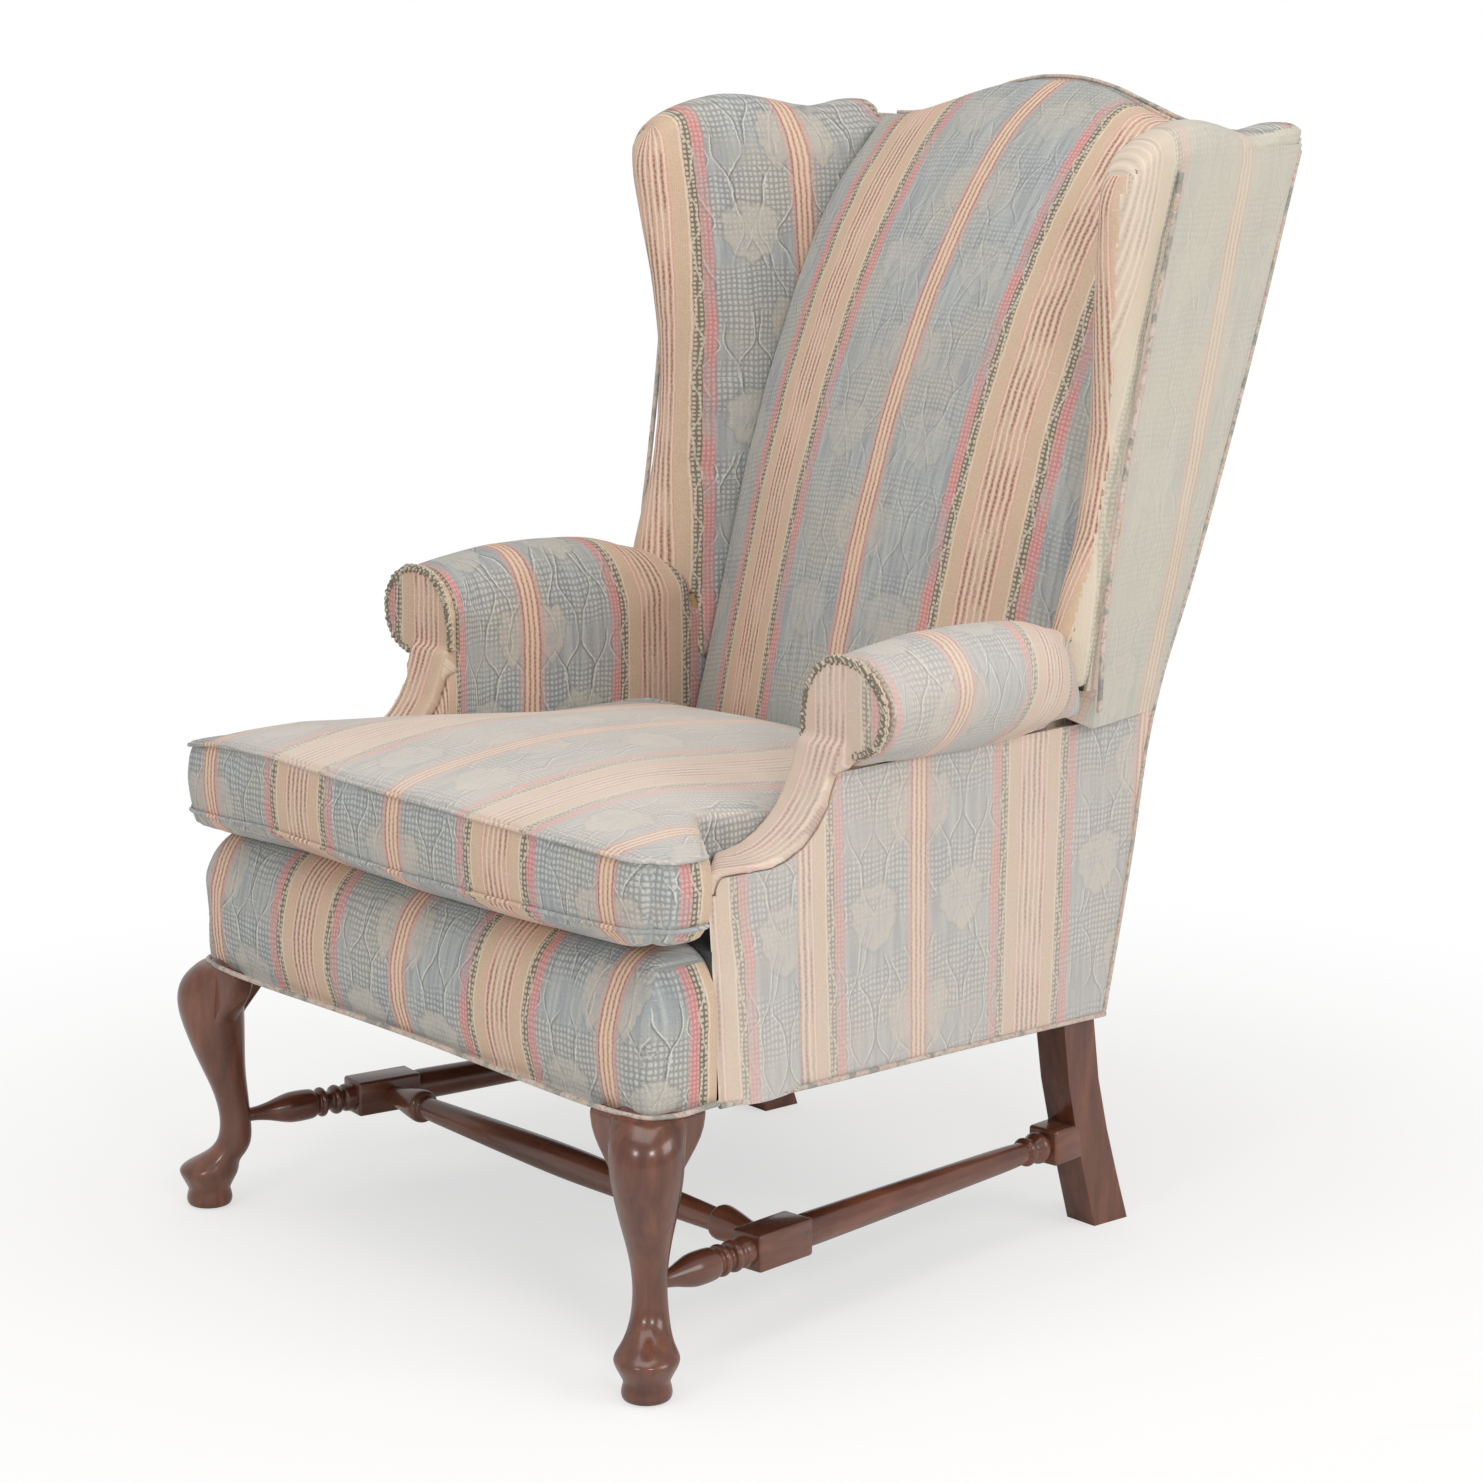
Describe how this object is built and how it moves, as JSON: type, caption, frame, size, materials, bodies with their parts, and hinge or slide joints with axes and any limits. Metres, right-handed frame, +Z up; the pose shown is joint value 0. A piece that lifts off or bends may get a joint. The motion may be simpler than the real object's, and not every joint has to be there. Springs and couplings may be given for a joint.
{
  "type": "wingback armchair",
  "caption": "Upholstered wingback armchair with a camel back, rolled arms, a loose box seat cushion, cabriole front legs and turned stretchers.",
  "frame": {"origin": "centre of the chair's bounding box in plan, on the floor", "axes": "+Z up, the chair faces -Y, +X is to the right of someone who looks at its front"},
  "size_m": [0.788, 0.872, 1.119],
  "materials": {
    "wood": "semi-gloss mahogany stain",
    "frame_wood": "raw sawn beech",
    "steel": "bright zinc",
    "webbing": "woven jute and burlap",
    "fabric": "woven striped upholstery cloth",
    "lining": "black cambric and dark denim",
    "foam": "foam in polyester wadding",
    "welt": "cloth-covered cord",
    "zip_tape": "woven tape with nylon coil"
  },
  "bodies": {
    "chair": {"front_leg_right": "wood", "front_leg_left": "wood", "knee_blocks": "wood", "back_post_right": "wood", "back_post_left": "wood", "side_stretcher_right": "wood", "side_stretcher_left": "wood", "cross_stretcher": "wood", "side_rail_right": "frame_wood", "side_rail_left": "frame_wood", "front_rail": "frame_wood", "rear_rail": "frame_wood", "corner_blocks": "frame_wood", "arm_stump_right": "frame_wood", "arm_stump_left": "frame_wood", "arm_rail_right": "frame_wood", "arm_rail_left": "frame_wood", "arm_tacking_rail_right": "frame_wood", "arm_tacking_rail_left": "frame_wood", "wing_post_right": "frame_wood", "wing_post_left": "frame_wood", "wing_rail_right": "frame_wood", "wing_rail_left": "frame_wood", "crest_rail": "frame_wood", "lower_back_rail": "frame_wood", "corner_screws": "steel", "seat_springs": "steel", "spring_clips": "steel", "back_webbing": "webbing", "spring_insulator": "webbing", "front_border": "fabric", "arm_front_right": "fabric", "arm_front_left": "fabric", "inside_arm_right": "fabric", "inside_arm_left": "fabric", "outside_arm_right": "fabric", "outside_arm_left": "fabric", "inside_wing_right": "fabric", "inside_wing_left": "fabric", "outside_wing_right": "fabric", "outside_wing_left": "fabric", "inside_back": "fabric", "outside_back": "fabric", "seat_deck": "lining", "dust_cover": "lining"},
    "cushion": {"cushion_cover": "fabric", "cushion_core": "foam", "cushion_welts": "welt", "cushion_zip": "zip_tape"},
    "zip_slider": {"zip_slider": "steel"}
  },
  "joints": [
    {"name": "cushion_lift", "type": "slide", "parent": "chair", "child": "cushion", "axis": [0, 0, 1], "range_m": [0, 0.26]},
    {"name": "zip_slide", "type": "slide", "parent": "cushion", "child": "zip_slider", "axis": [1, 0, 0], "range_m": [-0.41, 0]}
  ]
}
